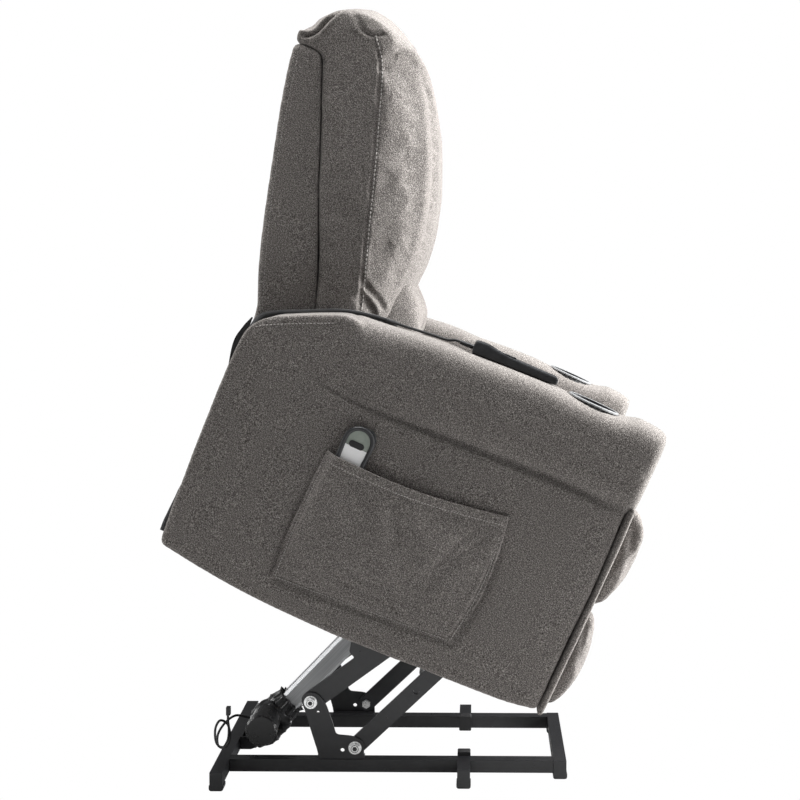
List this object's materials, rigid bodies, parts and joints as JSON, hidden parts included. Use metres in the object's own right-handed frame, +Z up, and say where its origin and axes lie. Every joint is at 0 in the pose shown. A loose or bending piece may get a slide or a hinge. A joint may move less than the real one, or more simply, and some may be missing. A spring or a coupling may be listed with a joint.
{
  "type": "lift recliner chair",
  "caption": "Upholstered power lift recliner, raised and tipped forward on a four-bar steel base, with footrest, reclining back, cup holders, side pocket and handset.",
  "frame": {"origin": "middle of the bounding box on the floor under the base", "axes": "chair front towards -Y, occupant's right towards -X, +Z up, chair raised and tipped 24.2 degrees forward"},
  "size_m": [0.8093, 0.9384, 1.5369],
  "materials": {
    "black_steel": "semi-matt powder coat",
    "zinc": "zinc plate",
    "aluminium": "extruded, satin",
    "black_plastic": "fine grain",
    "rubber": "matt",
    "cloth": "grey chenille weave",
    "lining": "black non-woven",
    "silver_plastic": "satin silver",
    "plywood": "bare"
  },
  "bodies": {
    "base": {"base_rear_tube": "black_steel", "base_front_tube": "black_steel", "base_rail_right": "black_steel", "base_rail_left": "black_steel", "side_support_right": "black_steel", "side_support_left": "black_steel", "stop_block_right": "rubber", "stop_block_left": "rubber", "glide_rear_right": "black_plastic", "glide_rear_left": "black_plastic", "glide_front_right": "black_plastic", "glide_front_left": "black_plastic", "glide_side_right": "black_plastic", "glide_side_left": "black_plastic", "pivot_bracket_right": "black_steel", "pivot_bracket_left": "black_steel", "pivot_bolt_rear_right": "zinc", "pivot_bolt_rear_left": "zinc", "pivot_bolt_front_right": "zinc", "pivot_bolt_front_left": "zinc", "actuator_bracket": "black_steel", "motor_lead": "rubber", "lead_connector": "black_plastic"},
    "rear_links": {"rear_link_right": "black_steel", "rear_link_left": "black_steel", "rear_link_crossbar": "black_steel"},
    "front_links": {"front_link_right": "black_steel", "front_link_left": "black_steel", "front_link_crossbar": "zinc"},
    "actuator_body": {"actuator_gearbox": "lining", "actuator_motor": "black_plastic", "actuator_guide_tube": "aluminium"},
    "actuator_rod": {"actuator_rod": "zinc"},
    "chair_body": {"chassis_plate_right": "black_steel", "chassis_plate_left": "black_steel", "chassis_cross_tube": "black_steel", "seat_deck": "plywood", "arm_box_right": "cloth", "arm_box_left": "cloth", "arm_pad_right": "cloth", "arm_pad_left": "cloth", "cup_holder_right": "silver_plastic", "cup_holder_left": "silver_plastic", "seat_cushion": "cloth", "dust_cover": "lining", "side_pocket": "cloth", "pocket_remote": "black_plastic", "handset": "black_plastic", "handset_cord": "rubber"},
    "backrest": {"backrest_frame": "cloth", "back_pillow": "cloth", "lumbar_pillow": "cloth"},
    "footrest_swing": {"footrest_swing_frame": "black_steel"},
    "footrest_carry": {"footrest_carry_frame": "black_steel"},
    "footrest": {"footrest_board": "plywood", "footrest_pad_upper": "cloth", "footrest_pad_lower": "cloth"},
    "key_up": {"handset_button_up": "rubber"},
    "key_down": {"handset_button_down": "rubber"},
    "remote_key": {"pocket_remote_button": "rubber"}
  },
  "joints": [
    {"name": "lift", "type": "hinge", "parent": "base", "child": "rear_links", "pos_m": [0.0076, 0.2121, 0.15], "axis": [1, 0, 0], "range_deg": [0, 39.2]},
    {"name": "chair_tilt", "type": "hinge", "parent": "rear_links", "child": "chair_body", "pos_m": [0.0076, -0.08724, 0.36748], "axis": [1, 0, 0], "range_deg": [-63.5, 0]},
    {"name": "front_link_swing", "type": "hinge", "parent": "base", "child": "front_links", "pos_m": [0.0076, 0.1241, 0.059], "axis": [1, 0, 0], "range_deg": [0, 39.2]},
    {"name": "actuator_swing", "type": "hinge", "parent": "base", "child": "actuator_body", "pos_m": [0.0076, 0.3531, 0.024], "axis": [1, 0, 0], "range_deg": [0, 21.5]},
    {"name": "actuator_stroke", "type": "slide", "parent": "actuator_body", "child": "actuator_rod", "axis": [0, -0.6947, 0.7193], "range_m": [-0.128, 0]},
    {"name": "recline", "type": "hinge", "parent": "chair_body", "child": "backrest", "pos_m": [0.0076, 0.22391, 0.86225], "axis": [-1, 0, 0], "range_deg": [0, 32]},
    {"name": "footrest_swing", "type": "hinge", "parent": "chair_body", "child": "footrest_swing", "pos_m": [0.0076, -0.2816, 0.44169], "axis": [-1, 0, 0], "range_deg": [0, 98]},
    {"name": "footrest_carry", "type": "hinge", "parent": "footrest_swing", "child": "footrest_carry", "pos_m": [0.0076, -0.20279, 0.29073], "axis": [-1, 0, 0], "range_deg": [-140.1, 0]},
    {"name": "footrest_turn", "type": "hinge", "parent": "footrest_carry", "child": "footrest", "pos_m": [0.0076, -0.31872, 0.43159], "axis": [-1, 0, 0], "range_deg": [0, 127.4]},
    {"name": "press_up", "type": "slide", "parent": "chair_body", "child": "key_up", "axis": [0, 0.362, -0.9322], "range_m": [0, 0.001], "stiffness_N_per_m": 900, "springref_m": -0.001},
    {"name": "press_down", "type": "slide", "parent": "chair_body", "child": "key_down", "axis": [0, 0.362, -0.9322], "range_m": [0, 0.001], "stiffness_N_per_m": 900, "springref_m": -0.001},
    {"name": "press_remote", "type": "slide", "parent": "chair_body", "child": "remote_key", "axis": [1, 0, 0], "range_m": [0, 0.001], "stiffness_N_per_m": 900, "springref_m": -0.001}
  ],
  "couplings": [
    {"joint": "chair_tilt", "follows": "lift", "ratio": -1.6174},
    {"joint": "front_link_swing", "follows": "lift", "ratio": 0.99715},
    {"joint": "actuator_swing", "follows": "lift", "ratio": 0.54543},
    {"joint": "actuator_stroke", "follows": "lift", "m_per_rad": -0.18562},
    {"joint": "footrest_swing", "follows": "recline", "ratio": 3.053},
    {"joint": "footrest_carry", "follows": "recline", "ratio": -4.3677},
    {"joint": "footrest_turn", "follows": "recline", "ratio": 3.971}
  ]
}
